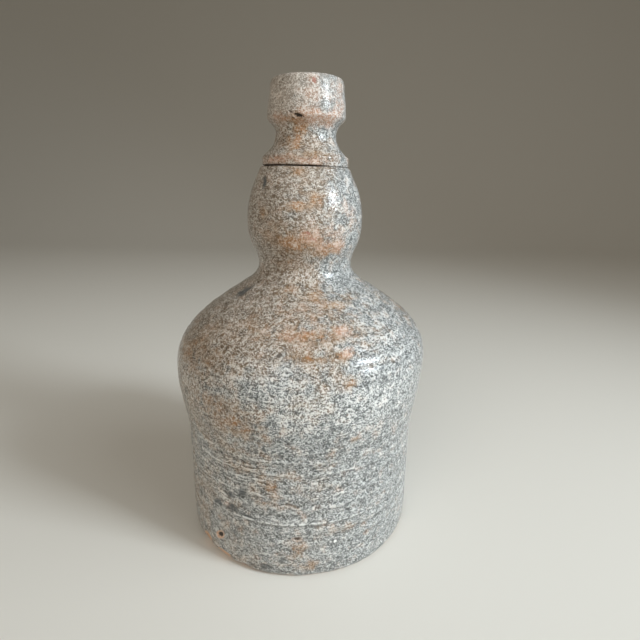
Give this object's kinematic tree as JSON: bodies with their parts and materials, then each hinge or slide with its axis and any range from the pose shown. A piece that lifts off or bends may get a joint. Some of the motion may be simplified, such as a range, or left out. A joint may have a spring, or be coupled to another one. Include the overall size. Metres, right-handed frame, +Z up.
{
  "type": "sake bottle",
  "caption": "Wheel-thrown glazed stoneware bottle: broad round-shouldered body, bulbous neck with an incised groove, and a small cup-shaped open mouth.",
  "frame": {"origin": "centre of the flat underside", "axes": "+Z up along the turning axis, out of the mouth; -Y is the front"},
  "size_m": [0.1328, 0.1328, 0.231],
  "materials": {
    "stoneware_clay": "bare fired stoneware, matt and slightly gritty, pinkish brown",
    "luting_slip": "fired slip, dark and matt",
    "body_glaze": "glossy curdled ash glaze, white flecks over blue-grey and olive-brown, with throwing rings and pinholes",
    "collar_glaze": "glossy curdled ash glaze, paler, with orange-pink breaks over the edges",
    "inner_glaze": "thin brown-grey lining glaze, satin"
  },
  "bodies": {
    "root": {"foot_disc": "stoneware_clay", "body_wall": "stoneware_clay", "shoulder_dome": "stoneware_clay", "neck_bulb": "stoneware_clay", "mouth_collar": "stoneware_clay", "foot_luting_slip": "luting_slip", "shoulder_luting_slip": "luting_slip", "neck_luting_slip": "luting_slip", "collar_luting_slip": "luting_slip", "body_glaze": "body_glaze", "collar_glaze": "collar_glaze", "inner_glaze": "inner_glaze"}
  },
  "joints": []
}
